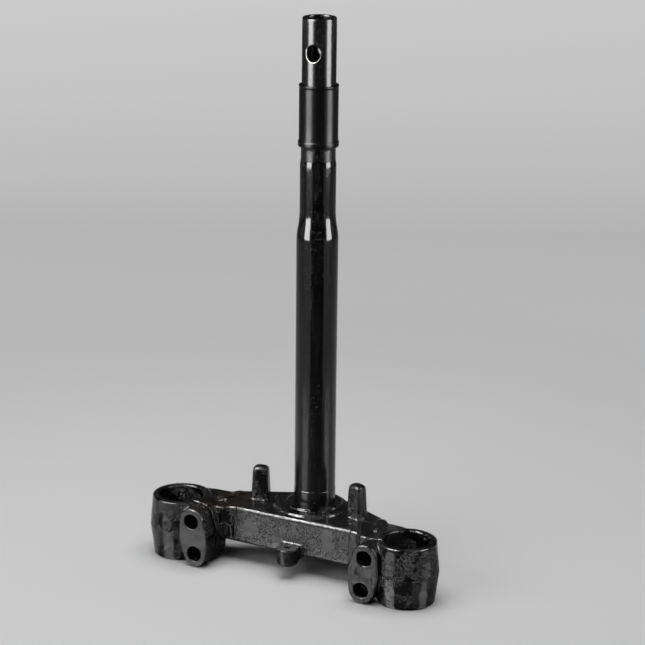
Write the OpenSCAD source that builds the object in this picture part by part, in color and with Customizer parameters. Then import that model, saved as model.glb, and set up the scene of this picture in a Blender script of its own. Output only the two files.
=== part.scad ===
// Lower triple clamp of a small motorcycle: a forged yoke with two split leg clamps,
// a swaged steering stem pressed into its hub and a plastic sleeve over the stem's thread.
// Millimetres. +Z runs up the stem, +X along the yoke, and -Y faces forward, to the fork legs.
// The origin lies on the stem axis in the machined plane of the bearing seat and clamp rims.

/* [Fork legs] */
// Diameter of the fork legs
leg_d = 33; // [31:0.5:35]
// Distance between the axes of the two legs
leg_spacing = 182.7; // [176:0.1:194]
// Distance of the leg axes in front of the stem axis
leg_offset = 35.25; // [33:0.25:38]

/* [Leg clamps] */
// Height of a clamp, from its foot to its rim
clamp_h = 45; // [42:0.5:48]
// Wall of a clamp at its rim
rim_wall = 4.5; // [4:0.1:5.5]
// Wall of a clamp at the parting line, half way up
parting_wall = 6.6; // [6:0.1:7.5]
// Wall of a clamp at its foot
foot_wall = 3.9; // [3.5:0.1:5]
// Rounding of a clamp's lower edge
foot_round = 1.2; // [0.8:0.1:2]
// Rounding of a clamp's rim
rim_round = 0.9; // [0.5:0.1:1.5]
// Chamfer at both ends of a clamp's bore
bore_chamfer = 0.6; // [0.3:0.1:1]

/* [Pinch lugs] */
// Thread of the pinch bolts
pinch_d = 10; // [8:1:10]
// Clearance between the upper pinch bolt and the leg that it passes
pinch_play = 0.15; // [0.1:0.05:1]
// How much wider than its bolt the hole in a lug's front half is
pinch_ease = 1; // [0.5:0.1:1.5]
// Chamfer at a pinch hole's mouth
pinch_chamfer = 0.7; // [0.3:0.1:1]
// How much further inboard the lower bolt lies than the upper one
pinch_lean = 2.3; // [0:0.1:3]
// Height between the upper and lower bolts
pinch_pitch = 24.2; // [22:0.1:26]
// Distance of the lugs' machined faces in front of the leg axes
lug_reach = 23.5; // [22:0.25:25]
// Radius of a lug's outline round each of its bolts
lug_end_r = 10; // [9:0.1:10.5]
// Radius of a lug's outline half way up
lug_mid_r = 12.2; // [11:0.1:12.5]
// Depth of a lug's tapped holes, behind the slit
tap_depth = 13; // [11:0.5:15]
// Metal left behind a tapped hole
tap_floor = 2; // [1.5:0.5:4]
// How far a lug's concave web runs along the beam's front face
web_reach = 9.7; // [8:0.1:12]
// How far a lug's concave web stands out of the beam's front face
web_rise = 4.3; // [3:0.1:6]
// Width of the clamping slit
slit_w = 2.4; // [1.5:0.1:3]
// Distance of the slit's middle in front of the leg axes
slit_ahead = 10; // [8.5:0.25:11]

/* [Beam] */
// Distance of the beam's top face below the machined plane
beam_drop = 2.5; // [1.5:0.1:3.5]
// Thickness of the beam at its front
beam_h = 28; // [26:0.5:30]
// Thickness of the beam at its rear, behind the stem
beam_rear_h = 15; // [13:0.5:20]
// Height of the beam's parting line below its top face
beam_parting = 19.5; // [17:0.5:22]
// Distance of the beam's front edge behind the leg axes
beam_setback = 1.45; // [0.5:0.05:3]
// Distance between a leg axis and the beam's end
beam_gap = 31.35; // [30:0.05:33]
// How much further out the beam's rear corners lie than its front corners
beam_splay = 1.5; // [0:0.1:3]
// Distance of the beam's rear corners in front of the stem axis
beam_rear = 2.4; // [0:0.1:5]
// Rounding of the beam's rear corners, seen from above
beam_corner_r = 3; // [2:0.5:5]
// Metal left above the two pockets in the beam's underside
pocket_roof = 8; // [6:0.5:14]
// Radius of a pocket's wide end, beside the hub
pocket_wide_r = 13; // [10:0.25:13.5]
// Radius of a pocket's narrow end, beside a lug
pocket_narrow_r = 9.5; // [7:0.25:10]

/* [Hub] */
// Wall of the hub round the bearing seat's diameter
hub_wall = 9.2; // [8:0.1:10.5]
// Height of the hub, from its lower end to the machined plane
hub_h = 34; // [32:0.5:38]
// Width of the collar's machined ring round the stem
collar_w = 5; // [3.5:0.1:6]
// How much wider the collar is at its foot than at its top
collar_flare = 2; // [1:0.1:3]

/* [Steering stops] */
// Distance of a stop peg's middle from the stem axis
peg_reach = 40.4; // [39:0.1:43]
// Angle of the stop pegs in front of the yoke's length
peg_angle = 13.7; // [8:0.1:20]
// Length of a peg's section at its foot, pointing away from the stem
peg_l = 13.4; // [12:0.1:14]
// Width of a peg's section at its foot
peg_w = 11; // [9:0.1:12]
// Height of a peg above the beam's top face
peg_h = 25.5; // [18:0.5:28]
// How much a peg narrows from its foot to its top, on each side
peg_draft = 1.4; // [0.5:0.1:2]
// Rounding of a peg's corners
peg_round = 2.8; // [1.5:0.1:3]
// How much the middle of a peg's top stands above its corners
peg_crown = 0.8; // [0.5:0.1:1.5]
// Radius of the bead that joins the two pegs round the front of the stem
bead_r = 30.8; // [29.5:0.1:32]
// Width of the bead
bead_w = 4.2; // [3:0.1:5]
// Height of the bead above the beam's top face
bead_h = 1.3; // [0.8:0.1:2]

/* [Front boss] */
// Radius of the boss at the beam's front
boss_r = 8.2; // [7:0.1:9]
// Distance of the boss axis in front of the beam's front edge
boss_ahead = 7.2; // [6:0.1:9]
// Height of the boss
boss_h = 13; // [11:0.5:15]
// Distance of the boss top below the machined plane
boss_drop = 22; // [20:0.5:24]
// Thread of the boss
boss_thread_d = 6; // [5:1:6]

/* [Steering stem] */
// Diameter of the lower bearing's seat
seat_d = 30; // [28:0.1:31]
// Length of the lower bearing's seat
seat_len = 11; // [9:0.5:14]
// How much narrower the tube above the seat is, in diameter
tube_relief = 0.4; // [0.2:0.1:1]
// Length of the wide tube above the seat
tube_len = 182; // [160:1:220]
// Length of the swaged neck between the wide tube and the shank
swage_len = 24; // [18:1:30]
// Diameter of the shank above the swaged neck
shank_d = 25.5; // [25:0.1:26]
// Length of the shank
shank_len = 33.7; // [28:0.1:40]
// Length of the relief groove below the thread
groove_len = 6.8; // [5:0.1:8]
// Depth of the relief groove
groove_depth = 0.45; // [0.3:0.05:0.8]
// Diameter of the steering thread
thread_d = 25.4; // [24.6:0.1:26]
// Length of the steering thread
thread_len = 33; // [30:0.5:42]
// Diameter of the spigot at the stem's upper end
spigot_d = 23.9; // [22:0.1:24]
// Length of the spigot at the stem's upper end
spigot_len = 62.1; // [45:0.1:66]
// Wall of the stem's tube
stem_wall = 2; // [1.8:0.1:3]
// Diameter of the cross hole in the spigot
cross_d = 12; // [10:0.5:13]
// Distance of the cross hole's axis below the stem's upper end
cross_drop = 23.8; // [20:0.1:28]
// Turn of the cross hole away from straight ahead
cross_turn = 6.5; // [0:0.5:15]
// Chamfer round the cross hole's mouths
cross_chamfer = 0.8; // [0.4:0.1:1]
// Length of the pressed end that shows below the hub
stem_stub = 1.5; // [1:0.5:3]

/* [Thread sleeve] */
// Length of the sleeve
sleeve_len = 43.2; // [40:0.1:46]
// Wall of the sleeve
sleeve_wall = 0.95; // [0.8:0.05:1.2]
// Distance of the sleeve's lower end above the relief groove
sleeve_gap = 5.3; // [3:0.1:8]
// Radial play between the sleeve and the thread
sleeve_play = 0.05; // [0.05:0.05:0.2]
// Height of the lip at the sleeve's lower end
lip_h = 4.3; // [3:0.1:5]
// How far the lip stands out from the sleeve
lip_out = 0.6; // [0.4:0.1:1]

/* [Hidden] */
$fn = 96;
paint = "#1c1c1d";
plastic = "#2b2b2c";
eps = 0.01;
past = 1;

leg_r = leg_d / 2;
leg_x = leg_spacing / 2;
rim_r = leg_r + rim_wall;
parting_r = leg_r + parting_wall;
foot_r = leg_r + foot_wall;

// Pinch bolts: a clearance hole in the front half of each lug, a tapped hole behind the slit
pinch_hole_r = (pinch_d + pinch_ease) / 2;
pinch_tap_r = 0.425 * pinch_d;
pinch_high = [-(leg_r + pinch_d / 2 + pinch_play), -clamp_h / 2 + pinch_pitch / 2];
pinch_low = [pinch_high.x - pinch_lean, -clamp_h / 2 - pinch_pitch / 2];
slit_front = slit_ahead + slit_w / 2;
slit_rear = slit_ahead - slit_w / 2;
lug_back = tap_depth + tap_floor;

// Beam: every edge has the same forged profile, carried round these corners
beam_top = -beam_drop;
beam_low = beam_top - beam_h;
beam_half = leg_x - beam_gap;
beam_front = leg_offset - beam_setback;
beam_nose_r = 2;
hub_r = seat_d / 2 + hub_wall;
edge_chamfer = 0.8;
draft_up = 1;
edge_foot_h = 2.4;
edge_foot_in = 2;
pocket_rim = 6;
pocket_angle = 20;
pocket_waist = 0.3;
beam_end = [beam_half + beam_splay - beam_corner_r, -beam_rear - beam_corner_r, beam_corner_r];
beam_nose = [beam_half - beam_nose_r, -beam_front + beam_nose_r, beam_nose_r];

// Necks between the beam's ends and the clamps
neck_in = 0.6;
neck_step = 4;
neck_low = beam_low - 2;
web_low = beam_low + 3.2;
web_top = beam_top - 2 * edge_chamfer;

// Hub and collar
press_r = seat_d / 2 - 0.5;
collar_r = seat_d / 2 + collar_w;
hub_foot_r = hub_r - 4;
hub_chamfer = 1;
ring_chamfer = 0.4;
flare_r = collar_r + collar_flare;

// Pegs and bead
peg_x = peg_l / 2 - peg_round;
peg_y = peg_w / 2 - peg_round;
peg_top = peg_h - peg_round;
bead_margin = 6;
bead_steps = 8;
bead_start = 180 + peg_angle + bead_margin;
bead_sweep = 180 - 2 * (peg_angle + bead_margin);

// Front boss
boss_y = -beam_front - boss_ahead;
boss_fillet = 2.2;
boss_low = -boss_drop - boss_h;
boss_low_r = boss_r - 0.6;
boss_round = 2.5;
boss_chamfer = 0.6;
boss_tap_r = 0.42 * boss_thread_d;

// Heights along the stem, upwards from the machined plane
tube_r = (seat_d - tube_relief) / 2;
shank_r = shank_d / 2;
thread_r = thread_d / 2;
spigot_r = spigot_d / 2;
swage_z = seat_len + tube_len;
shank_z = swage_z + swage_len;
groove_z = shank_z + shank_len;
thread_z = groove_z + groove_len;
spigot_z = thread_z + thread_len;
stem_top = spigot_z + spigot_len;
cross_z = stem_top - cross_drop;
stem_low = -hub_h - stem_stub;
groove_r = min(shank_r, thread_r) - groove_depth;
groove_chamfer = 0.8;
seat_chamfer = 0.3;
spigot_chamfer = 1;
end_chamfer = 0.7;

// Sleeve
sleeve_z = thread_z + sleeve_gap;
sleeve_in = thread_r + sleeve_play;
sleeve_out = sleeve_in + sleeve_wall;
lip_r = sleeve_out + lip_out;
lip_chamfer = 0.4;
sleeve_chamfer = 0.3;

// Points of an arc about c, from angle a to angle b
function arc(c, r, a, b, n = 6) =
    [for (i = [0:n]) c + r * [cos(a + (b - a) * i / n), sin(a + (b - a) * i / n)]];

// Points of an S-shaped run from radius r0 at z0 to radius r1 at z1
function s_curve(r0, z0, r1, z1, n = 12) =
    [for (i = [0:n]) [r0 + (r1 - r0) * (1 - cos(180 * i / n)) / 2, z0 + (z1 - z0) * i / n]];

// Corners of the outer tangents of two circles, in the plane
function tangents(p, rp, q, rq) =
    let (lean = asin((rp - rq) / norm(q - p)), base = atan2(q.y - p.y, q.x - p.x))
    [for (end = [[p, rp, 1], [q, rq, 1], [q, rq, -1], [p, rp, -1]])
        let (a = base + end[2] * (90 - lean)) end[0] + end[1] * [cos(a), sin(a)]];

module both_sides() {
    children();
    mirror([1, 0, 0]) children();
}

module at_leg() {
    translate([leg_x, -leg_offset, 0]) children();
}

// Round bar from y = -front back to y = -rear, about a point of the plane seen from the front
module bar_y(p, r, front, rear) {
    translate([p.x, -rear, p.y]) rotate([90, 0, 0]) cylinder(h = front - rear, r = r);
}

// Forged edge between the heights low and top, turned about a corner of radius r
module edge_turn(r, low, top = beam_top) {
    rotate_extrude($fn = 36) polygon([
        [0, top],
        [r - edge_chamfer, top],
        [r, top - edge_chamfer],
        [r + draft_up, beam_top - beam_parting],
        [r + draft_up / 2, low + edge_foot_h],
        [max(r - edge_foot_in, 0.2), low],
        [0, low],
    ]);
}

// The underside is level at the front and rises from there to the rear
module beam() {
    level = beam_front - pocket_rim;
    rise = atan2(beam_h - beam_rear_h, level + hub_r);
    difference() {
        hull() {
            edge_turn(hub_r, beam_low);
            both_sides() for (c = [beam_end, beam_nose])
                translate([c.x, c.y, 0]) edge_turn(c.z, beam_low);
        }
        translate([0, -level, beam_low]) rotate([rise, 0, 0]) translate([-leg_x, 0, -beam_h])
            cube([leg_spacing, 2 * leg_x, beam_h]);
    }
}

// Neck that carries a clamp on the beam's end, a step below the beam's rear corner
module neck() {
    hull() {
        translate([beam_end.x, beam_end.y - neck_step, 0]) edge_turn(beam_end.z, neck_low);
        at_leg() edge_turn(rim_r - neck_in, neck_low, -neck_in);
    }
}

// Clamp barrel: two drafted halves that meet at the parting line
module barrel() {
    at_leg() rotate_extrude() polygon(concat(
        [[0, -clamp_h]],
        arc([foot_r - foot_round, -clamp_h + foot_round], foot_round, -90, 0),
        [[parting_r, -clamp_h / 2]],
        arc([rim_r - rim_round, -rim_round], rim_round, 0, 90, 4),
        [[0, 0]]
    ));
}

// Outline of a lug seen from the front: wide at the parting line, round at both bolts
module lug_outline() {
    middle = (pinch_high + pinch_low) / 2;
    translate(middle) circle(lug_mid_r);
    for (p = [pinch_high, pinch_low]) translate(p) circle(lug_end_r);
    polygon(concat(
        tangents(middle, lug_mid_r, pinch_high, lug_end_r),
        tangents(middle, lug_mid_r, pinch_low, lug_end_r)
    ));
}

module lug() {
    at_leg() translate([0, -slit_rear + lug_back, 0]) rotate([90, 0, 0])
        linear_extrude(lug_reach - slit_rear + lug_back) lug_outline();
}

// Concave web that carries a lug's tapped half into the beam's front face
module lug_web() {
    side = leg_x + (pinch_high.x + pinch_low.x) / 2 - lug_mid_r;
    web_r = (pow(web_reach, 2) + pow(web_rise, 2)) / (2 * web_rise);
    translate([side, -beam_front, web_low]) linear_extrude(web_top - web_low) difference() {
        translate([-web_reach, -web_rise]) square([web_reach + leg_x + pinch_high.x - side, 2 * web_rise]);
        translate([-web_reach, -web_r]) circle(web_r);
    }
}

// Hub with its bearing collar, which flares out to the beam's top face
module hub() {
    rotate_extrude() polygon(concat(
        [
            [0, -hub_h],
            [hub_foot_r - hub_chamfer, -hub_h],
            [hub_foot_r, -hub_h + hub_chamfer],
            [hub_foot_r, beam_top - hub_chamfer],
            [flare_r, beam_top - hub_chamfer],
        ],
        arc([flare_r, beam_top + collar_flare], collar_flare, 270, 180),
        [[collar_r, -ring_chamfer], [collar_r - ring_chamfer, 0], [0, 0]]
    ));
}

// Stop peg: a drafted block with round corners and a domed top
module peg() {
    rotate([0, 0, -peg_angle]) translate([peg_reach, 0, beam_top]) hull() {
        for (x = [-1, 1], y = [-1, 1]) {
            translate([x * peg_x, y * peg_y, -past]) cylinder(h = past, r = peg_round, $fn = 24);
            translate([x * (peg_x - peg_draft), y * (peg_y - peg_draft), peg_top - peg_crown])
                sphere(peg_round, $fn = 24);
        }
        translate([0, 0, peg_top]) sphere(peg_round, $fn = 24);
    }
}

// Low bead round the front of the collar, from peg to peg
module bead() {
    crown = [
        for (i = [0:bead_steps])
            let (a = 180 - 180 * i / bead_steps) [cos(a) * bead_w / 2, sin(a) * bead_h]
    ];
    rotate([0, 0, bead_start]) rotate_extrude(angle = bead_sweep) translate([bead_r, beam_top])
        polygon(concat([[-bead_w / 2, -past]], crown, [[bead_w / 2, -past]]));
}

// Round boss with a fillet on both sides, where it joins the beam's front face
module boss() {
    translate([0, boss_y, 0]) rotate_extrude() polygon(concat(
        [[0, boss_low]],
        arc([boss_low_r - boss_round, boss_low + boss_round], boss_round, -90, 0),
        [[boss_r, -boss_drop - boss_chamfer], [boss_r - boss_chamfer, -boss_drop], [0, -boss_drop]]
    ));
    translate([0, boss_y, boss_low + boss_round]) linear_extrude(boss_h - boss_round) difference() {
        translate([-boss_r - boss_fillet, 0])
            square([2 * (boss_r + boss_fillet), boss_ahead + beam_nose_r]);
        both_sides() translate([boss_r + boss_fillet, 0])
            square([2 * boss_fillet, 2 * (boss_ahead - boss_fillet)], center = true);
        both_sides() translate([boss_r + boss_fillet, boss_ahead - boss_fillet]) circle(boss_fillet);
    }
}

// Pocket in the underside, between the hub and a lug
module pocket() {
    wide = (hub_foot_r + pocket_wide_r + pocket_rim / 2) * [cos(pocket_angle), -sin(pocket_angle)];
    narrow = [beam_half - pocket_narrow_r - pocket_rim / 2, -beam_front + pocket_narrow_r + pocket_rim];
    translate([0, 0, beam_low - past]) linear_extrude(beam_h - pocket_roof + past) {
        translate(wide) circle(pocket_wide_r);
        translate(narrow) circle(pocket_narrow_r);
        polygon(tangents(wide, pocket_wide_r - pocket_waist, narrow, pocket_narrow_r - pocket_waist));
    }
}

module leg_cuts() {
    at_leg() {
        translate([0, 0, -clamp_h - past]) cylinder(h = clamp_h + 2 * past, r = leg_r);
        translate([0, 0, -bore_chamfer])
            cylinder(h = bore_chamfer + eps, r1 = leg_r, r2 = leg_r + bore_chamfer);
        translate([0, 0, -clamp_h - eps])
            cylinder(h = bore_chamfer + eps, r1 = leg_r + bore_chamfer, r2 = leg_r);
        translate([pinch_low.x - lug_mid_r - 2 * past, -slit_front, -clamp_h - past])
            cube([-pinch_low.x + lug_mid_r + 2 * past, slit_w, clamp_h + 2 * past]);
        for (p = [pinch_high, pinch_low]) {
            bar_y(p, pinch_hole_r, lug_reach + past, slit_ahead);
            bar_y(p, pinch_tap_r, slit_ahead, slit_rear - tap_depth);
            translate([p.x, -lug_reach - eps, p.y]) rotate([-90, 0, 0])
                cylinder(h = pinch_chamfer + eps, r1 = pinch_hole_r + pinch_chamfer, r2 = pinch_hole_r);
        }
    }
}

module lower_yoke() {
    color(paint) difference() {
        union() {
            beam();
            hub();
            bead();
            boss();
            both_sides() {
                neck();
                barrel();
                lug();
                lug_web();
                peg();
            }
        }
        both_sides() {
            leg_cuts();
            pocket();
        }
        translate([0, 0, -hub_h - past]) cylinder(h = hub_h + 2 * past, r = press_r);
        translate([0, boss_y, boss_low - past]) cylinder(h = boss_h + 2 * past, r = boss_tap_r);
    }
}

module stem_outside() {
    rotate_extrude() polygon(concat(
        [[0, stem_low], [press_r - end_chamfer, stem_low], [press_r, stem_low + end_chamfer], [press_r, 0]],
        [[seat_d / 2, 0], [seat_d / 2, seat_len - seat_chamfer], [tube_r, seat_len]],
        s_curve(tube_r, swage_z, shank_r, shank_z),
        [[shank_r, groove_z], [groove_r, groove_z + groove_chamfer], [groove_r, groove_z + groove_len / 2]],
        [[thread_r, thread_z], [thread_r, spigot_z - spigot_chamfer], [spigot_r, spigot_z]],
        [[spigot_r, stem_top - end_chamfer], [spigot_r - end_chamfer, stem_top], [0, stem_top]]
    ));
}

module stem_inside() {
    low_r = press_r - stem_wall;
    high_r = spigot_r - stem_wall;
    rotate_extrude() polygon(concat(
        [[0, stem_low - past], [low_r, stem_low - past]],
        s_curve(low_r, swage_z, high_r, shank_z),
        [[high_r, stem_top - end_chamfer], [high_r + end_chamfer, stem_top], [0, stem_top]]
    ));
}

module cross_hole() {
    reach = spigot_r - cross_chamfer;
    translate([0, 0, cross_z]) rotate([0, 0, cross_turn]) {
        bar_y([0, 0], cross_d / 2, spigot_d, -spigot_d);
        for (turn = [-90, 90]) rotate([turn, 0, 0]) translate([0, 0, reach])
            cylinder(h = 2 * cross_chamfer, r1 = cross_d / 2 - eps, r2 = cross_d / 2 + 2 * cross_chamfer);
    }
}

module steering_stem() {
    color(paint) difference() {
        stem_outside();
        stem_inside();
        cross_hole();
    }
}

module thread_sleeve() {
    color(plastic) translate([0, 0, sleeve_z]) rotate_extrude() polygon([
        [sleeve_in, 0],
        [lip_r - lip_chamfer, 0],
        [lip_r, lip_chamfer],
        [lip_r, lip_h - lip_chamfer],
        [lip_r - lip_chamfer, lip_h],
        [sleeve_out, lip_h],
        [sleeve_out, sleeve_len - sleeve_chamfer],
        [sleeve_out - sleeve_chamfer, sleeve_len],
        [sleeve_in, sleeve_len],
    ]);
}

lower_yoke();
steering_stem();
thread_sleeve();
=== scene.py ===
# %% [markdown]
# # Lower triple clamp of a motorcycle
#
# The object is a forged yoke with two split leg clamps, a steering stem that is pressed into
# its hub, and a thin plastic sleeve that guards the steering thread. All of it but the sleeve
# is painted black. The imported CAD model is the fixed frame, and this file dresses it: it makes
# the forging's soft edges and fillets, the turned shapes of the stem and the sleeve, their
# paint and plastic, and the pale studio in which they stand.

import math

import bpy
import numpy as np
from mathutils import Matrix


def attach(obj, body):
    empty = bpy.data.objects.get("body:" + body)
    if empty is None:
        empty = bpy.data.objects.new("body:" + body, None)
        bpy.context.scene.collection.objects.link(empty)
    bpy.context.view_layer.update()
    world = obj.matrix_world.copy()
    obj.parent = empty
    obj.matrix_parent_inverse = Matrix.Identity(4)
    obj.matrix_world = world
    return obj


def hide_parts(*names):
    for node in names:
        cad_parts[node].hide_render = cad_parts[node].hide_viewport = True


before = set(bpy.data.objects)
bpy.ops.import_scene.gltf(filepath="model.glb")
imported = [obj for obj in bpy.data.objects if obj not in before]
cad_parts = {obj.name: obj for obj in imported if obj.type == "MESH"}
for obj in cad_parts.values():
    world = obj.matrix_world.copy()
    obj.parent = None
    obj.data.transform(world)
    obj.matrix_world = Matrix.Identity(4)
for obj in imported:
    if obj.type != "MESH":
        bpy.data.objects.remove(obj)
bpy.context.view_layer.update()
print("nodes:", sorted(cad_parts))

# %% [markdown]
# ## Camera
#
# The camera stands in front of the yoke, 27 degrees round to the right, and looks down on it at
# about 17 degrees. Its place came from a least squares fit of rims, edges and feet, so a render
# lies over the photograph without any shift. The rotation matrix is built from three plain
# directions: right, up and back.

# %% Camera
MM = 0.001
floor_z = -45.0 * MM
turn, pitch, roll = 0.479144079, 0.293716331, 0.0112808784
focal_px, frame_px = 2223.604, 645.0
distance, side_step = 1578.393 * MM, -4.2485 * MM
aim = np.array([0.0, 0.0, 134.794 * MM])

back = np.array(
    [math.sin(turn) * math.cos(pitch), -math.cos(turn) * math.cos(pitch), math.sin(pitch)]
)
level_right = np.array([math.cos(turn), math.sin(turn), 0.0])
level_up = np.cross(back, level_right)
cam_right = math.cos(roll) * level_right + math.sin(roll) * level_up
cam_up = -math.sin(roll) * level_right + math.cos(roll) * level_up
eye = aim + distance * back - side_step * cam_right

camera = bpy.data.objects.new("camera", bpy.data.cameras.new("camera"))
bpy.context.scene.collection.objects.link(camera)
camera.data.sensor_width = 36.0
camera.data.lens = camera.data.sensor_width * focal_px / frame_px
camera.data.clip_end = 30.0
pose = np.eye(4)
pose[:3, 0], pose[:3, 1], pose[:3, 2], pose[:3, 3] = cam_right, cam_up, back, eye
camera.matrix_world = Matrix(pose.tolist())
bpy.context.scene.camera = camera
print("camera at", eye.round(3))


# %% [markdown]
# ## Distance fields
#
# A forging has no sharp corner: its walls have draft and flow into each other through
# fillets. Bevels on a mesh of many joined shapes break where three edges meet. So the yoke is
# written as a distance field instead: a function that says how far a point lies from the
# surface, negative inside. Shapes are joined by taking the smaller distance, and a rounded
# version of that minimum gives the fillets. All lengths here are in millimetres, as on the
# drawing.

# %% Joining and cutting fields
def join(a, b, fillet=0.0):
    """The smaller distance. Where both are near, it is lowered by a parabola, which fills
    the corner with a fillet of about that radius."""
    if fillet == 0.0:
        return np.minimum(a, b)
    near = np.maximum(fillet - np.abs(a - b), 0.0)
    return np.minimum(a, b) - near * near / (4.0 * fillet)


def cut(a, b, edge=0.0):
    """Shape a without shape b, with the edge rounded: the opposite of a join."""
    return -join(-a, b, edge)


def common(a, b, edge=0.0):
    """Only what lies in both shapes, with the edge rounded."""
    return -join(-a, -b, edge)


def disc(u, v, cu, cv, radius):
    """Distance to a circle: the distance to its centre less its radius."""
    return np.hypot(u - cu, v - cv) - radius


def slab(u, low, high):
    """Distance to the space between two parallel planes."""
    return np.maximum(low - u, u - high)


# %% Outlines
def outline_distance(u, v, corners):
    """Signed distance to a closed outline: to its nearest edge, negative inside.
    An edge crossed by a ray to the right flips the sign."""
    corners = np.asarray(corners, dtype=float)
    nearest, sign = None, 1.0
    for (u0, v0), (u1, v1) in zip(corners, np.roll(corners, -1, axis=0)):
        eu, ev, wu, wv = u1 - u0, v1 - v0, u - u0, v - v0
        t = np.clip((wu * eu + wv * ev) / (eu * eu + ev * ev), 0.0, 1.0)
        gap = (wu - eu * t) ** 2 + (wv - ev * t) ** 2
        nearest = gap if nearest is None else np.minimum(nearest, gap)
        above0, above1 = v >= v0, v < v1
        left = eu * wv > ev * wu
        flips = (above0 & above1 & left) | ~(above0 | above1 | left)
        sign = np.where(flips, -sign, sign)
    return sign * np.sqrt(nearest)


def arc_points(centre, radius, start, stop, count=10):
    """Points of an arc, by angles in degrees."""
    angle = np.radians(np.linspace(start, stop, count))
    return [(centre[0] + radius * np.cos(a), centre[1] + radius * np.sin(a)) for a in angle]


def round_hull(circles, around=80):
    """Convex outline round some circles: the hull of points on all of them, by turning
    left at each corner."""
    found = set()
    for u, v, radius in circles:
        found |= {(round(p[0], 6), round(p[1], 6)) for p in arc_points((u, v), radius, 0, 360, around)}
    points = sorted(found)
    hull = []
    for run in (points, points[::-1]):
        side = []
        for p in run:
            while len(side) > 1:
                (au, av), (bu, bv) = side[-2], side[-1]
                if (bu - au) * (p[1] - av) - (bv - av) * (p[0] - au) > 0:
                    break
                side.pop()
            side.append(p)
        hull += side[:-1]
    return hull


print("a hull of two circles has", len(round_hull([(0, 0, 5), (20, 0, 3)])), "corners")


# %% [markdown]
# ## Beam and hub
#
# The yoke's two halves mirror each other, so every field below is for the half with positive x.
# The beam is an outline seen from above whose wall leans out from the top to the parting line
# and back again below it, as the two forging dies need. The hub is a turned profile. An
# extruded outline with a draft could make the beam too, but its fillet to the hub could not be
# added afterwards.

# %% Beam and hub
beam_top, beam_low, beam_front = -2.5, -30.5, -33.8
parting_drop, parting_lift, parting_start, parting_run = 20.3, 4.3, 17.0, 30.0
hub_foot_r, hub_low, press_r = 20.2, -34.0, 14.5


def beam_parting(x):
    """Height of the beam's parting line: level in the middle, rising towards the lugs."""
    rise = np.clip((x - parting_start) / parting_run, 0.0, 1.3) ** 1.4
    return beam_top - parting_drop + parting_lift * rise


def beam_field(x, y, z):
    """Drafted wall, level top, and an underside that rises from the front to the rear."""
    ends = [(side * u, v, r) for side in (1, -1) for u, v, r in ((58.5, -5.4, 3), (58, -31.8, 2))]
    plan = round_hull([(0, 0, 24.2)] + ends)
    parting = beam_parting(x)
    up = np.clip((z - parting) / (beam_top - parting), 0.0, 1.2)
    down = np.clip((parting - z) / (parting - beam_low), 0.0, 1.4)
    wall = outline_distance(x, y, plan) - 1.0 + 1.35 * up + 0.9 * down**1.5
    underside = beam_low + np.maximum(y - beam_front - 6.0, 0.0) * 13.0 / 52.0
    shell = common(wall, underside - z, edge=4.0)
    return common(shell, z - beam_top, edge=2.9)


def hub_field(x, y, z):
    """Turned hub: a plain lower part, and a collar that flares out to the beam's top."""
    r = np.hypot(x, y)
    lower = common(r - hub_foot_r, slab(z, hub_low, -5.0), edge=1.5)
    collar = [(0, -6), (24.0, -6), (22.6, beam_top)] + arc_points((22.0, -0.5), 2.0, 268, 182, 6)
    collar += [(20.0, -0.35), (19.6, 0), (0, 0)]
    return join(lower, outline_distance(r, z, collar))


print("parting line from", beam_parting(0.0), "to", round(float(beam_parting(58.0)), 2), "mm")


# %% [markdown]
# ## Clamps, lugs and webs
#
# Each fork leg is held in a split clamp. The clamp is a turned profile whose halves widen to
# the parting line. An oval lug in front of it takes two bolts, an arm ties the clamp to the
# beam, and a concave web carries the lug's load into the beam's front. Each is one simple
# field, and the joins between them become the forging's fillets.

# %% Clamps, lugs and webs
leg_x, leg_y, leg_r = 91.35, -35.25, 16.5
clamp_h, rim_r, parting_r, foot_r, clamp_parting = 45.0, 21.0, 23.1, 20.4, -22.5
lug_face, slit_front, slit_rear = leg_y - 23.5, leg_y - 11.2, leg_y - 8.8
bolt_high = (leg_x - 21.65, -10.4)
bolt_low = (leg_x - 23.95, -34.6)


def neck_field(x, y, z):
    """Arm from the beam's end to the clamp, whose top slopes up to the rim."""
    plan = round_hull([(58.5, -9.4, 3), (leg_x, leg_y, rim_r - 1.0)])
    middle = -16.5
    lean = 0.07 * np.abs(z - middle)
    wall = outline_distance(x, y, plan) - 1.0 + lean
    along = np.clip((x - 58.0) / 18.0, 0.0, 1.0)
    top = z - (beam_top - 0.5 + 1.7 * along)
    return common(common(wall, top, edge=2.5), -32.5 - z, edge=3.0)


def clamp_field(x, y, z):
    """Turned clamp: two drafted halves that meet at the parting line."""
    r = np.hypot(x - leg_x, y - leg_y)
    profile = [(0, -clamp_h)] + arc_points((foot_r - 1.2, -clamp_h + 1.2), 1.2, -90, 0, 6)
    profile += [(parting_r - 0.25, clamp_parting - 1.5), (parting_r, clamp_parting)]
    profile += [(parting_r - 0.25, clamp_parting + 1.5)]
    profile += arc_points((rim_r - 0.9, -0.9), 0.9, 0, 90, 6) + [(0, 0)]
    return outline_distance(r, z, profile)


def lug_field(x, y, z):
    """Oval block round both bolts. The saw cut divides it later."""
    middle = ((bolt_high[0] + bolt_low[0]) / 2, (bolt_high[1] + bolt_low[1]) / 2)
    outline = round_hull([(*bolt_high, 10.0), (*middle, 12.2), (*bolt_low, 10.0)])
    oval = outline_distance(x, z, outline)
    return common(oval, slab(y, lug_face, slit_rear + 15.0), edge=1.7)


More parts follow.
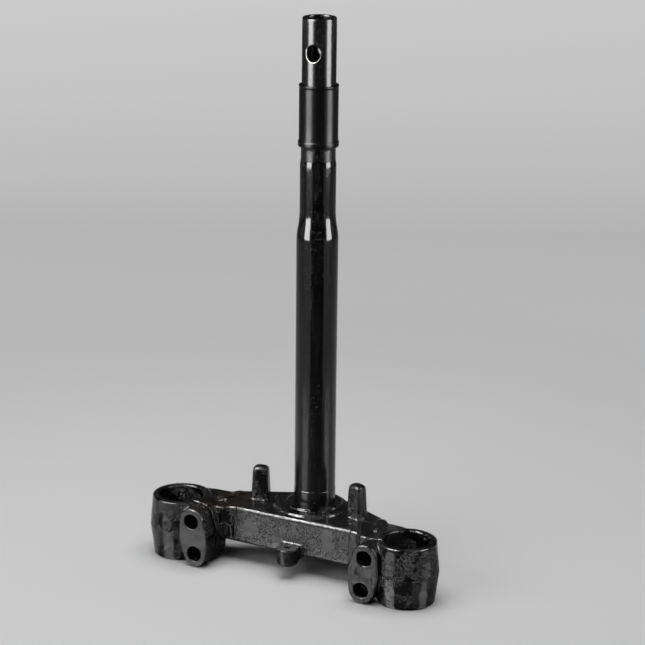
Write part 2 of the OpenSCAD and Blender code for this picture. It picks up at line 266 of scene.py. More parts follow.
def web_field(x, y, z):
    """Concave web between a lug and the beam's front, cut by a large circle."""
    side, reach, rise = 56.35, 9.7, 4.3
    radius = (reach**2 + rise**2) / (2 * rise)
    block = np.maximum(slab(x, side - reach, 68.0), slab(y, beam_front - rise, beam_front + rise))
    hollow = cut(block, disc(x, y, side - reach, beam_front - radius, radius))
    return common(hollow, slab(z, -28.5, -3.2), edge=2.0)


print("legs", 2 * leg_x, "mm apart, lug face at y", lug_face, "mm")


# %% [markdown]
# ## Pegs, bead, boss and pockets
#
# Two drafted pegs stop the steering at each side, and a low bead runs between them on an arc
# about the stem. A small boss with a tapped hole stands in front of the beam. The underside is
# hollowed beside the hub, which saves weight in such a forging.

# %% Pegs, bead, boss and pockets
peg_reach, peg_angle, peg_h = 40.4, math.radians(13.7), 25.5
peg_half_u, peg_half_v, peg_corner = 6.7, 5.5, 2.8
bead_r, bead_round = 28.3, 2.0
boss_y, boss_r, boss_top, boss_low = beam_front - 7.2, 8.2, -22.0, -35.0


def peg_field(x, y, z):
    """Drafted block, turned away from the stem, with round corners and a domed top."""
    c, s = math.cos(peg_angle), math.sin(peg_angle)
    u = c * x - s * y - peg_reach
    v = s * x + c * y
    draft = 1.15 * np.clip((z - beam_top) / peg_h, 0.0, 1.1)
    qu = np.abs(u) - (peg_half_u - peg_corner) + draft
    qv = np.abs(v) - (peg_half_v - peg_corner) + draft
    outside = np.hypot(np.maximum(qu, 0), np.maximum(qv, 0))
    side = outside + np.minimum(np.maximum(qu, qv), 0) - peg_corner
    dome = z - beam_top - peg_h + 0.03 * (u * u + v * v)
    return common(common(side, dome, edge=2.6), -6.0 - z)


def bead_field(x, y, z):
    """Low round bead on an arc about the stem, from peg to peg."""
    r = np.hypot(x, y)
    ring = np.hypot(r - bead_r, z - beam_top) - bead_round
    return np.maximum(ring, y + 3.0)


def boss_field(x, y, z):
    """Turned boss with a round foot, and the web that joins it to the beam."""
    r = np.hypot(x, y - boss_y)
    wall = r - boss_r + 0.6 * np.clip((boss_top - z) / 13.0, 0.0, 1.2)
    round_part = common(common(wall, boss_low - z, edge=3.0), z - boss_top, edge=0.8)
    web = np.maximum(slab(x, -boss_r + 0.6, boss_r - 0.6), slab(y, boss_y, beam_front + 2.0))
    web = common(common(web, boss_low + 2.5 - z, edge=2.0), z - boss_top, edge=0.8)
    return join(round_part, web)


def pocket_field(x, y, z):
    """Hollow in the underside, between the hub and a lug."""
    plan = round_hull([(32.5, -11.8, 13.0), (47.5, -18.3, 9.5)])
    return common(outline_distance(x, y, plan), z - (beam_low + 20.0), edge=3.0)


print("pegs", round(2 * peg_reach * math.cos(peg_angle), 1), "mm apart,", peg_h, "mm tall")


# %% [markdown]
# ## The whole yoke
#
# The forged shapes are joined first, each with its own fillet. The machined faces and bores are
# cut at the end, with small edges, and so they stay crisp against the soft forged skin, in the
# same order as in the workshop.

# %% Field of the yoke
bolt_clear_r, bolt_core_r, boss_core_r = 5.5, 4.25, 2.52


def forging(x, y, z):
    """Everything joined with its fillets, less the pocket."""
    body = join(beam_field(x, y, z), neck_field(x, y, z), fillet=4.0)
    body = join(body, clamp_field(x, y, z), fillet=2.5)
    body = join(body, web_field(x, y, z), fillet=1.5)
    body = join(body, lug_field(x, y, z), fillet=1.6)
    body = join(body, hub_field(x, y, z), fillet=1.5)
    body = join(body, boss_field(x, y, z), fillet=1.8)
    body = join(body, bead_field(x, y, z), fillet=1.2)
    body = join(body, peg_field(x, y, z), fillet=2.2)
    return cut(body, pocket_field(x, y, z), edge=1.0)


def yoke_field(x, y, z):
    """The forging, then bored for the legs, split, drilled for the bolts, and bored for the
    stem and the boss."""
    x = np.abs(x)
    body = forging(x, y, z)
    mouth = leg_r + np.clip(0.6 - np.minimum(-z, z + clamp_h), 0.0, 1.0)
    body = cut(body, np.hypot(x - leg_x, y - leg_y) - mouth, edge=0.3)
    body = cut(body, np.maximum(slab(y, slit_front, slit_rear), slab(x, 40.0, leg_x)), edge=0.5)
    for bolt_x, bolt_z in (bolt_high, bolt_low):
        bolt = np.hypot(x - bolt_x, z - bolt_z)
        flare = np.clip(lug_face + 0.35 - y, 0.0, 1.5)
        clear = np.maximum(bolt - bolt_clear_r - flare, y - slit_front - 1.0)
        core = np.maximum(bolt - bolt_core_r, slab(y, slit_front, slit_rear + 13.0))
        body = cut(cut(body, clear, edge=0.4), core, edge=0.3)
    body = cut(body, np.hypot(x, y) - press_r, edge=0.3)
    return cut(body, np.hypot(x, y - boss_y) - boss_core_r, edge=0.3)


# %% [markdown]
# ## From a field to a mesh
#
# A grid of points samples the field. Each grid cell that the surface passes through gets one
# vertex, at the mean of the places where its edges are crossed, and each crossed grid edge
# gets one quad between its four cells. This way of meshing is called surface nets. A Decimate
# modifier then thins what is flat, and the vertices slide back onto the field, whose slope
# also gives exact normals.

# %% Surface nets
def cells_round(at, others, da, db):
    """The cells on one side of each crossed grid edge, one step back where da or db is 1."""
    cell = at.copy()
    cell[:, others[0]] -= da
    cell[:, others[1]] -= db
    return cell


def surface_net(field, origin, step):
    """Vertices and quads of the surface where the field is zero, as whole arrays."""
    inside = field < 0
    cells = tuple(n - 1 for n in field.shape)
    place = np.zeros(cells + (3,))
    hits = np.zeros(cells)
    crossed = []
    for axis in range(3):
        near = [slice(None)] * 3
        far = [slice(None)] * 3
        near[axis], far[axis] = slice(None, -1), slice(1, None)
        f0, f1 = field[tuple(near)], field[tuple(far)]
        cross = inside[tuple(near)] != inside[tuple(far)]
        at = np.argwhere(cross)
        crossing = at.astype(float)
        crossing[:, axis] += f0[cross] / (f0[cross] - f1[cross])
        others = [a for a in range(3) if a != axis]
        for da, db in ((0, 0), (0, 1), (1, 0), (1, 1)):
            cell = cells_round(at, others, da, db)
            ok = np.all((cell >= 0) & (cell < np.array(cells)), axis=1)
            index = tuple(cell[ok].T)
            np.add.at(place, index, crossing[ok])
            np.add.at(hits, index, 1)
        crossed.append((axis, others, at, inside[tuple(near)][cross]))
    used = hits > 0
    number = np.full(cells, -1)
    number[used] = np.arange(used.sum())
    vertices = origin + step * place[used] / hits[used][:, None]
    quads = []
    for axis, others, at, starts_inside in crossed:
        ring = []
        for da, db in ((1, 1), (0, 1), (0, 0), (1, 0)):
            cell = cells_round(at, others, da, db)
            ring.append(number[tuple(np.clip(cell, 0, np.array(cells) - 1).T)])
        quad = np.stack(ring, 1)
        turn_back = starts_inside == (axis == 1)
        quad[turn_back] = quad[turn_back][:, ::-1]
        quads.append(quad)
    return vertices, np.concatenate(quads)


# %% Sliding onto the field, and new pieces
def slope(field, points, reach=0.05):
    """Gradient of a field at some points, by differences across each of them."""
    x, y, z = points.T
    across = []
    for i, j, k in np.eye(3) * reach:
        across.append(field(x + i, y + j, z + k) - field(x - i, y - j, z - k))
    return np.stack(across, 1) / (2 * reach)


def slide_on(field, points, rounds=3, furthest=0.4):
    """Moves points onto the surface: down the slope, by the distance over its steepness."""
    for _ in range(rounds):
        g = slope(field, points)
        move = field(*points.T)[:, None] * g / np.maximum((g * g).sum(1), 0.25)[:, None]
        points = points - np.clip(move, -furthest, furthest)
    return points


def new_piece(name, vertices, faces):
    """A mesh object from arrays in millimetres, linked to the scene."""
    mesh = bpy.data.meshes.new(name)
    mesh.from_pydata((np.asarray(vertices) * MM).tolist(), [], np.asarray(faces).tolist())
    mesh.update()
    piece = bpy.data.objects.new(name, mesh)
    bpy.context.scene.collection.objects.link(piece)
    return piece


def apply_modifiers(piece):
    """The piece's mesh with its modifiers worked into it."""
    evaluated = piece.evaluated_get(bpy.context.evaluated_depsgraph_get())
    made = bpy.data.meshes.new_from_object(evaluated)
    piece.modifiers.clear()
    piece.data = made
    return made


# %% Mesh of the yoke
step = 0.8
half_x = np.arange(0.0, 117.0, step)
grid_y = np.arange(-61.0, 27.0, step)
grid_z = np.arange(-47.0, 26.0, step)
half = yoke_field(half_x[:, None, None], grid_y[None, :, None], grid_z[None, None, :])
whole = np.concatenate([half[:0:-1], half])
origin = np.array([-half_x[-1], grid_y[0], grid_z[0]])
yoke_vertices, yoke_quads = surface_net(whole, origin, step)
yoke = new_piece("forged_yoke", yoke_vertices, yoke_quads)
thin = yoke.modifiers.new("thin", "DECIMATE")
thin.ratio = 0.55
thin.use_collapse_triangulate = True
thinned = apply_modifiers(yoke)
print("yoke:", len(yoke_quads), "quads, thinned to", len(thinned.polygons), "faces")

# %% Exact places and normals of the yoke
points = np.empty(len(thinned.vertices) * 3)
thinned.vertices.foreach_get("co", points)
points = slide_on(yoke_field, points.reshape(-1, 3) / MM)
thinned.vertices.foreach_set("co", (points * MM).ravel())
normals = slope(yoke_field, points, reach=0.12)
normals /= np.linalg.norm(normals, axis=1)[:, None]
thinned.polygons.foreach_set("use_smooth", np.ones(len(thinned.polygons), bool))
thinned.update()
thinned.normals_split_custom_set_from_vertices(normals.tolist())
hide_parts("lower_yoke")
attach(yoke, "root")
print("furthest point from the field:", round(float(np.abs(yoke_field(*points.T)).max()), 3), "mm")

# %% [markdown]
# ## Stem and sleeve
#
# Both are turned on a lathe, so each is a profile carried round the axis. The grid has one
# column per profile point and one row per angle. The stem's profile goes up the outside and
# down the inside, which gives the tube its real wall. The cross hole is the one feature that
# isn't turned, and a Boolean modifier cuts it with a turned plug, which is a little narrower
# than it is high.

# %% Turned pieces
def turned(name, profile, around=160):
    """Carries a closed profile of (radius, height) once round the z axis."""
    profile = np.asarray(profile, dtype=float)
    angle = np.arange(around) * 2 * np.pi / around
    r, z = profile[:, 0], profile[:, 1]
    x, y = r * np.cos(angle)[:, None], r * np.sin(angle)[:, None]
    grid = np.stack([x, y, np.broadcast_to(z, x.shape)], 2)
    n = len(profile)
    i, j = np.meshgrid(np.arange(around), np.arange(n), indexing="ij")
    i2, j2 = (i + 1) % around, (j + 1) % n
    faces = np.stack([i * n + j, i2 * n + j, i2 * n + j2, i * n + j2], 2)
    return new_piece(name, grid.reshape(-1, 3), faces.reshape(-1, 4))


def s_run(r0, z0, r1, z1, count=20):
    """Half a cosine wave from one radius to the other, for a swaged neck. A power of 0.8 makes
    it leave the first radius sooner."""
    t = np.linspace(0, 1, count)
    return list(zip(r0 + (r1 - r0) * (1 - np.cos(np.pi * t**0.8)) / 2, z0 + (z1 - z0) * t))


def soft_corners(profile, radius, count=4):
    """Rounds the corners of a closed profile: each is replaced by a short parabola between
    points at the given distance before and after it."""
    p = np.asarray(profile, dtype=float)
    before, after = np.roll(p, 1, 0) - p, np.roll(p, -1, 0) - p
    lb, la = np.linalg.norm(before, axis=1), np.linalg.norm(after, axis=1)
    reach = np.minimum(radius, 0.45 * np.minimum(lb, la))
    start, stop = p + before * (reach / lb)[:, None], p + after * (reach / la)[:, None]
    t = np.linspace(0, 1, count)[None, :, None]
    curve = (1 - t) ** 2 * start[:, None] + 2 * t * (1 - t) * p[:, None] + t**2 * stop[:, None]
    return curve.reshape(-1, 2)


# %% Profile of the stem
stem_low, stem_high, chamfer = -35.5, 352.6, 0.7
seat_r, tube_r, shank_r, groove_r, thread_r, spigot_r = 15.0, 14.8, 12.75, 12.2, 12.7, 11.95
tube_bore, spigot_bore = 12.5, 9.95
swage_low, swage_high, bore_swage_low = 197.2, 217.0, 193.0

stem_profile = [(tube_bore, stem_low), (press_r - chamfer, stem_low), (press_r, stem_low + chamfer)]
stem_profile += [(press_r, 0), (seat_r, 0), (seat_r, 10.8), (tube_r, 11)]
stem_profile += [(tube_r, z) for z in (60, 110, 160)]
stem_profile += s_run(tube_r, swage_low, shank_r, swage_high)
stem_profile += [(shank_r, 235), (shank_r, 250), (groove_r, 253.7), (groove_r, 261.5)]
stem_profile += [(thread_r, 264), (thread_r, 289.8), (spigot_r, 290.5), (spigot_r, 320)]
stem_profile += [(spigot_r, stem_high - chamfer), (spigot_r - chamfer, stem_high)]
stem_profile += [(spigot_bore + chamfer, stem_high), (spigot_bore, stem_high - chamfer)]
stem_profile += s_run(tube_bore, bore_swage_low, spigot_bore, swage_high)[::-1]
stem = turned("stem_tube", soft_corners(stem_profile, 0.45))

# %% Cross hole of the stem
hole_r, hole_z, hole_turn, hole_narrow = 6.0, 328.8, math.radians(5.5), 0.87
flare_r, flare_out, flare_in, plug_half = 7.4, 12.85, 11.45, 14.0

plug_top = [(hole_r, flare_in), (flare_r, flare_out), (flare_r, plug_half), (0.01, plug_half)]
plug = turned("cross_plug", [(r, -z) for r, z in plug_top[::-1]] + plug_top, 72)
narrow = Matrix.Diagonal((hole_narrow, 1.0, 1.0, 1.0))
lay_down = Matrix.Rotation(hole_turn, 4, "Z") @ Matrix.Rotation(math.radians(90), 4, "X") @ narrow
plug.data.transform(Matrix.Translation((0, 0, hole_z * MM)) @ lay_down)
bore = stem.modifiers.new("cross hole", "BOOLEAN")
bore.object, bore.operation, bore.solver = plug, "DIFFERENCE", "EXACT"
bored = apply_modifiers(stem)
bpy.data.objects.remove(plug)
bored.polygons.foreach_set("use_smooth", np.ones(len(bored.polygons), bool))
bored.set_sharp_from_angle(angle=math.radians(40))
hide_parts("steering_stem")
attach(stem, "root")
print("stem:", len(bored.polygons), "faces")

# %% Sleeve
sleeve_low = 262.8
lip = [(12.75, 0), (13.9, 0), (14.3, 0.5), (14.3, 3.7), (13.95, 4.3), (13.7, 4.5)]
wall_and_end = [(13.7, 20), (13.7, 41.2), (13.95, 42.6), (13.9, 43.2), (12.9, 43.2), (12.75, 42.8)]
sleeve_profile = [(r, z + sleeve_low) for r, z in lip + wall_and_end]
sleeve = turned("guard_sleeve", soft_corners(sleeve_profile, 0.3))
sleeve.data.polygons.foreach_set("use_smooth", np.ones(len(sleeve.data.polygons), bool))
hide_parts("thread_sleeve")
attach(sleeve, "root")
print("sleeve:", len(sleeve.data.polygons), "faces")


# %% [markdown]
# ## Shader maths
#
# A small class wraps a node's output socket, so that a mask can be written as a plain
# expression. Each operator adds one Math node. A second class holds a material's tree and adds
# every other node with one method, which sets the node's settings first and then its sockets.

# %% Socket arithmetic
class Wire:
    """A shader value. Operators on it add Math nodes to its tree."""

    def __init__(self, tree, socket):
        self.tree, self.socket = tree, socket

    def math(self, operation, *values):
        return self.tree.node("ShaderNodeMath", {"operation": operation}, *values)

    def __add__(self, other):
        return self.math("ADD", self, other)

    def __sub__(self, other):
        return self.math("SUBTRACT", self, other)

    def __rsub__(self, other):
        return self.math("SUBTRACT", other, self)

    def __mul__(self, other):
        return self.math("MULTIPLY", self, other)

    def __truediv__(self, other):
        return self.math("DIVIDE", self, other)

    __radd__, __rmul__ = __add__, __mul__

    def __pow__(self, other):
        return self.math("POWER", self, other)

    def __abs__(self):
        return self.math("ABSOLUTE", self)

    def clamp(self, low, high):
        """The value, held between low and high."""
        return self.math("MAXIMUM", self.math("MINIMUM", self, high), low)

    def between(self, low, high):
        """0 below low, 1 above high, smooth between them."""
        settings = {"interpolation_type": "SMOOTHSTEP"}
        return self.tree.node("ShaderNodeMapRange", settings, self, low, high, 0.0, 1.0)

    def within(self, start, full, fade, end):
        """Rises from 0 to 1 between start and full, and falls again between fade and end."""
        return self.between(start, full) * (1.0 - self.between(fade, end))


# %% Node trees
class Paint:
    """A material's node tree, with x, y and z of its Object coordinates."""

    def __init__(self, name):
        self.material = bpy.data.materials.new(name)
        self.material.use_nodes = True
        self.nodes, self.links = self.material.node_tree.nodes, self.material.node_tree.links
        self.shader = self.nodes["Principled BSDF"]
        self.split("Object")

    @classmethod
    def of_world(cls, world):
        """The same helpers for the world's tree, where x, y and z are a direction."""
        made = cls.__new__(cls)
        made.material = None
        made.nodes, made.links = world.node_tree.nodes, world.node_tree.links
        made.shader = made.nodes["Background"]
        made.split("Generated")
        return made

    def split(self, source):
        """Keeps a coordinate as place, and its three parts as x, y and z."""
        coordinate = self.nodes.new("ShaderNodeTexCoord")
        self.place = Wire(self, coordinate.outputs[source])
        parts = self.nodes.new("ShaderNodeSeparateXYZ")
        self.fill(parts, 0, self.place)
        self.x, self.y, self.z = (Wire(self, parts.outputs[i]) for i in range(3))

    def fill(self, node, key, value):
        """Links a Wire to a node's socket, or sets the socket to a plain value."""
        socket = node.inputs[key.replace("_", " ") if isinstance(key, str) else key]
        if isinstance(value, Wire):
            self.links.new(value.socket, socket)
        else:
            socket.default_value = value

    def node(self, kind, settings=None, *values, out=0, **named):
        """Adds a node: its settings, or a ramp's stops, then its sockets by place or name."""
        made = self.nodes.new(kind)
        for key, value in (settings or {}).items():
            if key == "stops":
                self.set_stops(made.color_ramp.elements, value)
            else:
                setattr(made, key, value)
        for key, value in list(enumerate(values)) + list(named.items()):
            if value is not None:
                self.fill(made, key, value)
        return Wire(self, made.outputs[out])

    @staticmethod
    def set_stops(elements, stops):
        """Gives a ramp its (position, colour) stops."""
        while len(elements) < len(stops):
            elements.new(0.5)
        for element, (position, colour) in zip(elements, stops):
            element.position, element.color = position, colour

    def noise(self, scale, detail=3.0, roughness=0.55, stretch=None):
        """Noise in waves per metre, on Object coordinates, stretched if asked."""
        where = self.place
        if stretch:
            where = self.node("ShaderNodeVectorMath", {"operation": "MULTIPLY"}, where, stretch)
        return self.node(
            "ShaderNodeTexNoise", None, Vector=where, Scale=scale, Detail=detail, Roughness=roughness
        )

    def mix_colour(self, share, first, second):
        """The first colour where share is 0, the second where it is 1."""
        skipped = [None] * 5
        return self.node("ShaderNodeMix", {"data_type": "RGBA"}, share, *skipped, first, second, out=2)

    def bump(self, height, depth, below=None):
        """Bump of a height between 0 and 1, depth in metres, over another bump's normal."""
        return self.node(
            "ShaderNodeBump", None, Height=height, Distance=depth, Strength=1.0, Normal=below
        )

    def finish(self, **values):
        """Sets the shader's own sockets, and returns the material, if the tree is of one."""
        for key, value in values.items():
            self.fill(self.shader, key, value)
        return self.material


def give(piece, material):
    """Makes this the piece's only material."""
    piece.data.materials.clear()
    piece.data.materials.append(material)


# %% [markdown]
# ## Black paint on the forging
#
# The yoke is sprayed with thick gloss paint over a raw forging. The paint levels the scale of
# the steel only in part, so it lies differently from place to place. The beam's front is dull
# between small glossy pits, the machined lug faces are half dull, one arm is rough under the
# paint, and the rest is glossy and wavy. Each place is a mask worked out from the coordinates,
# which needs no painted image and keeps its scale. x is taken without its sign, because both
# halves look alike, and the depth is counted forwards from the stem.

# %% Places on the yoke
paint = Paint("yoke_paint")
x_mm, z_mm = abs(paint.x) / MM, paint.z / MM
ahead = -1.0 * (paint.y / MM)
left = -1.0 * paint.x / MM

front = ahead.within(31.6, 32.4, 35.6, 36.4) * (1.0 - x_mm.between(44.5, 46.0))
front = front * (1.0 - z_mm.between(-6.5, -4.5))
lug_skin = ahead.between(58.4, 58.6)
arm_skin = left.within(36.0, 42.0, 66.0, 74.0) * z_mm.between(-6.0, -4.5)
leg_gap = ((x_mm - leg_x) ** 2.0 + (ahead + leg_y) * (ahead + leg_y)) ** 0.5
clamp_skin = leg_gap.within(18.0, 18.5, 23.2, 24.5) * (1.0 - z_mm.between(-1.4, -0.7))
print("yoke paint has", len(paint.nodes), "nodes for its places")

# %% [markdown]
# ## Relief under the paint
#
# Four bumps lie on each other: slow waves of the paint, orange peel in patches, pits, and the
# ragged seam where the forging's flash was trimmed. The seam follows the parting line, so it
# takes its height from the same values as the beam's shape. It is left out on the lug faces,
# which are machined.

# %% Relief of the yoke
waves = paint.noise(75.0, 2.0)
peel = paint.noise(420.0, 3.0, 0.6)
peel_where = paint.noise(60.0, 3.0).between(0.48, 0.66)
pits = paint.noise(900.0, 3.0, 0.65).between(0.42, 0.5)
pits_where = paint.noise(95.0, 2.0).between(0.40, 0.52)
pitted = (1.0 - pits) * pits_where

rise = ((x_mm - parting_start) / parting_run).clamp(0.0, 1.3) ** 1.4
past_beam = x_mm.between(60.0, 62.0)
seam_z = (beam_top - parting_drop + parting_lift * rise) * (1.0 - past_beam) + clamp_parting * past_beam
ragged = 0.8 * (paint.noise(150.0, 2.0) - 0.5)
seam = 1.0 - abs(z_mm - seam_z + ragged).between(0.15, 0.55)
seam = seam * (1.0 - lug_skin) * paint.noise(190.0, 3.0, 0.6).between(0.42, 0.55)

peel_depth = 0.1 + peel_where * (1.0 - 0.7 * clamp_skin) + 1.5 * arm_skin
normal = paint.bump(waves, 0.0009)
normal = paint.bump(peel * peel_depth, 0.0003, normal)
normal = paint.bump(1.0 - pitted * (0.25 + front), 0.0005, normal)
normal = paint.bump(seam, 0.0006, normal)

# %% [markdown]
# ## Finish of the yoke
#
# The paint itself is a smooth black with a low specular level. A rougher coat over it, where
# the front is free of pits and on the lug faces, gives their dull grey. A faint brown tint lies
# where old grease collected.

# %% Yoke paint
pit_free = 1.0 - pitted
grime = paint.noise(60.0, 4.0).between(0.55, 0.75)
tint = (grime * 0.5 + arm_skin * peel).clamp(0.0, 1.0)
dull = 0.08 + 0.2 * front * pit_free + 0.12 * lug_skin + 0.02 * clamp_skin
give(
    yoke,
    paint.finish(
        Base_Color=paint.mix_colour(tint, (0.0022, 0.0022, 0.0024, 1), (0.012, 0.008, 0.005, 1)),
        Roughness=dull.clamp(0.0, 0.45),
        Specular_IOR_Level=0.33,
        Coat_Weight=(0.5 * front * pit_free + 0.1 * lug_skin).clamp(0.0, 1.0),
        Coat_Roughness=0.44,
        Normal=normal,
    ),
)
print("yoke paint has", len(paint.nodes), "nodes in all")

# %% [markdown]
# ## Paint on the stem
#
# The stem has a thinner, smoother coat of the same black. It is a little duller low down and on
# the spigot, where fine turning marks show, and the relief groove is rough. Specks of dust lie
# in the paint, and a few chips show the steel. The lower rim of the cross hole is worn to bare
# metal. The wear and marks are noise on the coordinates, and the marks come from noise that is
# drawn out round the axis.

# %% Places on the stem
satin = Paint("stem_paint")
x_mm, y_mm, z_mm = satin.x / MM, satin.y / MM, satin.z / MM
spigot = z_mm.between(289.0, 291.0)
groove = z_mm.within(253.3, 254.0, 263.0, 264.0)
foot = 1.0 - z_mm.between(30.0, 140.0)
turning = satin.noise(260.0, 4.0, 0.6, (0.05, 0.05, 5.0))
rough_skin = satin.noise(1100.0, 3.0, 0.6)
chips = satin.noise(480.0, 1.0).between(0.80, 0.83)
specks = satin.noise(1300.0, 2.0, 0.5).between(0.66, 0.72)

hole_side = (x_mm * math.cos(hole_turn) + y_mm * math.sin(hole_turn)) / hole_narrow
hole_gap = (hole_side * hole_side + (z_mm - hole_z) * (z_mm - hole_z)) ** 0.5
mouth = hole_gap.within(hole_r, 6.1, 6.4, 6.6) * (1.0 - z_mm.between(330.5, 334.0))
mouth = mouth * satin.noise(300.0, 3.0).between(0.3, 0.45) * (1.0 - (y_mm + 9.0).between(0.0, 0.5))

# %% Stem paint
satin_normal = satin.bump(satin.noise(110.0, 2.0), 0.00012)
satin_normal = satin.bump(turning * spigot, 0.00004, satin_normal)
satin_normal = satin.bump(rough_skin * groove, 0.00018, satin_normal)
satin_normal = satin.bump(specks, 0.00008, satin_normal)
steel_share = (mouth + 0.3 * chips).clamp(0.0, 1.0)
dull = 0.1 + 0.1 * spigot + 0.1 * foot + 0.09 * groove + 0.25 * mouth
give(
    stem,
    satin.finish(
        Base_Color=satin.mix_colour(steel_share, (0.0025, 0.0025, 0.0026, 1), (0.5, 0.48, 0.46, 1)),
        Roughness=dull.clamp(0.0, 0.6),
        Metallic=mouth,
        Specular_IOR_Level=0.36,
        Coat_Weight=0.1 * foot,
        Coat_Roughness=0.33,
        Normal=satin_normal,
    ),
)
print("stem paint has", len(satin.nodes), "nodes")

# %% [markdown]
# ## Plastic of the sleeve
#
# The sleeve is moulded black plastic. It is duller than the paint and has a faint even grain
# from the mould.

# %% Sleeve plastic
plastic = Paint("sleeve_plastic")
grain = plastic.bump(plastic.noise(900.0, 3.0), 0.00005)
moulded = (0.004, 0.004, 0.004, 1)
give(
    sleeve,
    plastic.finish(Base_Color=moulded, Roughness=0.25, Specular_IOR_Level=0.17, Normal=grain),
)
print("sleeve plastic has", len(plastic.nodes), "nodes")

# %% [markdown]
# ## Floor
#
# The object stands on a pale sheet of card in a dim room. Near the object the sheet is lit by
# the lamps, so it takes a real shadow. Farther back it only has to look pale, so there it glows
# by itself, with a tone that changes slowly from front to back, both for the camera and in
# reflections. Only its own coordinates choose the tone, so it stays in place when the camera
# moves.

# %% Floor
reach_x, reach_near, reach_far = 6000, -4000, 9000
floor_mm = floor_z / MM
ends = [(-reach_x, reach_near), (reach_x, reach_near), (reach_x, reach_far), (-reach_x, reach_far)]
floor = new_piece("floor", [(x, y, floor_mm) for x, y in ends], [(0, 1, 2, 3)])
card = Paint("floor_card")
behind = card.y * math.cos(turn) - card.x * math.sin(turn)
beside = card.x * math.cos(turn) + card.y * math.sin(turn)
tones = [(-0.15, 0.60), (0.12, 0.56), (0.36, 0.50), (0.67, 0.475)]
tones += [(0.95, 0.455), (1.2, 0.50), (1.75, 0.55), (2.7, 0.585)]
ramp_start, ramp_length = -0.3, 3.2
stops = [((at - ramp_start) / ramp_length, (tone, tone, tone * 1.004, 1)) for at, tone in tones]
tone = card.node("ShaderNodeValToRGB", {"stops": stops}, (behind - ramp_start) / ramp_length)
slant = 1.0 - 0.03 * beside
tone = card.node("ShaderNodeVectorMath", {"operation": "SCALE"}, tone, Scale=slant)
glow = card.node("ShaderNodeEmission", None, Color=tone, Strength=1.0)

paths = card.nodes.new("ShaderNodeLightPath")
seen = sum(Wire(card, paths.outputs[f"Is {kind} Ray"]) for kind in ("Camera", "Glossy", "Transmission"))
far = ((card.x * card.x + card.y * card.y) ** 0.5).between(0.32, 0.75)
card.finish(Base_Color=(0.56, 0.56, 0.563, 1), Roughness=1.0, Specular_IOR_Level=0.0)
lit = Wire(card, card.shader.outputs[0])
mixed = card.node("ShaderNodeMixShader", None, far * seen.clamp(0.0, 1.0), lit, glow)
card.links.new(mixed.socket, card.nodes["Material Output"].inputs[0])
give(floor, card.material)
print("floor:", len(tones), "tones over", ramp_length, "m from front to back")

# %% [markdown]
# ## Soft boxes
#
# Black gloss paint shows little but its reflections, so the lamps are placed by what they show.
# The front box and the side box each give a bright upright band on the round stem. The high box
# leans over from in front and lights the edges and fillets that face up. All three end above
# the floor, and only reflections see them. Their power is worked out from a radiance, because a
# reflection keeps a lamp's radiance whatever the lamp's size.
#
# Two broad lamps, one overhead and one in front, light the floor and the object's own colours
# and cast the shadow. Reflections don't see them, so they add no band of their own.

# %% Soft boxes
def soft_box(name, azimuth, away, low, width, height, radiance, tip=0.0, mirrored=True):
    """A soft box at an azimuth seen from the stem, upright or tipped down about its low edge
    by an angle in degrees. Power is pi times area times radiance."""
    data = bpy.data.lights.new(name, "AREA")
    data.shape, data.size, data.size_y = "RECTANGLE", width, height
    data.energy = math.pi * width * height * radiance
    made = bpy.data.objects.new(name, data)
    bpy.context.scene.collection.objects.link(made)
    a, t = math.radians(azimuth), math.radians(tip)
    toward = np.array([math.sin(a), -math.cos(a), 0.0])
    rise = math.cos(t) * np.array([0.0, 0.0, 1.0]) - math.sin(t) * toward
    pose = np.eye(4)
    pose[:3, 0], pose[:3, 1] = (math.cos(a), math.sin(a), 0), rise
    pose[:3, 2] = np.cross(pose[:3, 0], rise)
    pose[:3, 3] = toward * away + (0, 0, floor_z + low) + rise * height / 2
    made.matrix_world = Matrix(pose.tolist())
    made.visible_camera, made.visible_diffuse, made.visible_glossy = False, not mirrored, mirrored
    print(name, "gives", round(data.energy, 1), "W")
    return made


soft_box("front_box", -31, 0.75, 0.148, 0.43, 0.32, 21.0)
soft_box("high_box", -34, 0.75, 0.47, 0.55, 0.75, 38.0, tip=18)
soft_box("side_box", 95, 0.75, 0.148, 0.40, 0.9, 18.0)
top_box = soft_box("top_box", 0, 0.0, 0.0, 1.3, 1.3, 4.3, mirrored=False)
top_box.matrix_world = Matrix.Translation((0, 0, 1.4))
soft_box("fill_box", -25, 1.0, 0.3, 0.9, 0.7, 2.4, mirrored=False)


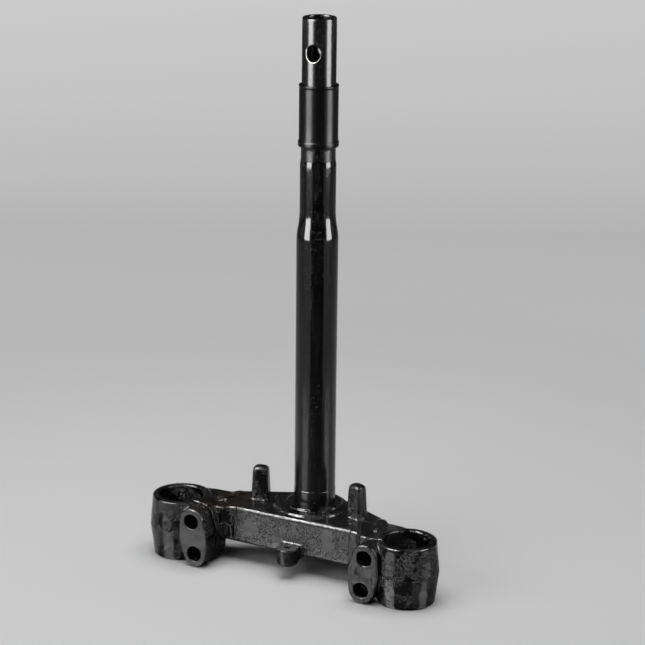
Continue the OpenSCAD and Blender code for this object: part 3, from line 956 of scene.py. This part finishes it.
# %% [markdown]
# ## Cards for the reflections
#
# The upright faces look down to the floor in their reflections. Four half-gloss cards lie
# there, seen by reflections only. Each scatters a little light and mirrors a little, so it
# shows the soft boxes once more, dimmer and upside down: these are the soft bands low on the
# clamps, the lugs and the stem. The card's tone sets how dark the rest of the reflection is,
# nearly black on the flag in front and pale at the sides.

# %% Cards
def lay_card(name, tone, corners, height=-44.0, shine=0.115):
    """A card on the floor. Tone is the share of light that it scatters, and shine the share
    that it mirrors. Corners are metres beside and behind the object, as the camera sees them,
    and the height is in mm."""
    card_x, card_y = np.array(corners).T
    x = card_x * math.cos(turn) - card_y * math.sin(turn)
    y = card_x * math.sin(turn) + card_y * math.cos(turn)
    made = new_piece(name, np.stack([x / MM, y / MM, np.full(4, height)], 1), [(0, 1, 2, 3)])
    both = tone + shine
    gloss = {"Metallic": shine / both, "Roughness": 0.14, "Specular_IOR_Level": 0.0}
    give(made, Paint(name).finish(Base_Color=(both, both, both, 1), **gloss))
    made.visible_camera = made.visible_diffuse = made.visible_shadow = False


near_corners = [(-0.24, -0.26), (0.27, -0.26), (0.27, 0.0), (-0.24, 0.0)]
lay_card("near_card", 0.14, near_corners, height=-44.9)
lay_card("flag", 0.01, [(-2.11, -3.3), (2.41, -3.17), (0.158, -0.206), (-0.137, -0.216)])
lay_card("right_card", 0.5, [(0.27, -0.25), (3.0, -0.25), (3.0, 2.7), (0.70, 2.7)])
lay_card("left_card", 0.45, [(-0.24, -0.25), (-0.70, 2.7), (-3.0, 2.7), (-3.0, -0.25)])

# %% [markdown]
# ## Room
#
# The room is almost black, so that the gloss stays dark between the bands. Only the wall behind
# the object, low down, gives a little light.

# %% Room
world = bpy.data.worlds.new("studio")
bpy.context.scene.world = world
world.use_nodes = True
sky = Paint.of_world(world)
wall = sky.y.between(0.2, 0.8) * (1.0 - sky.z.between(0.3, 0.55))
sky.finish(Color=0.015 + 0.06 * wall, Strength=1.0)
bpy.context.scene.view_settings.view_transform = "Standard"
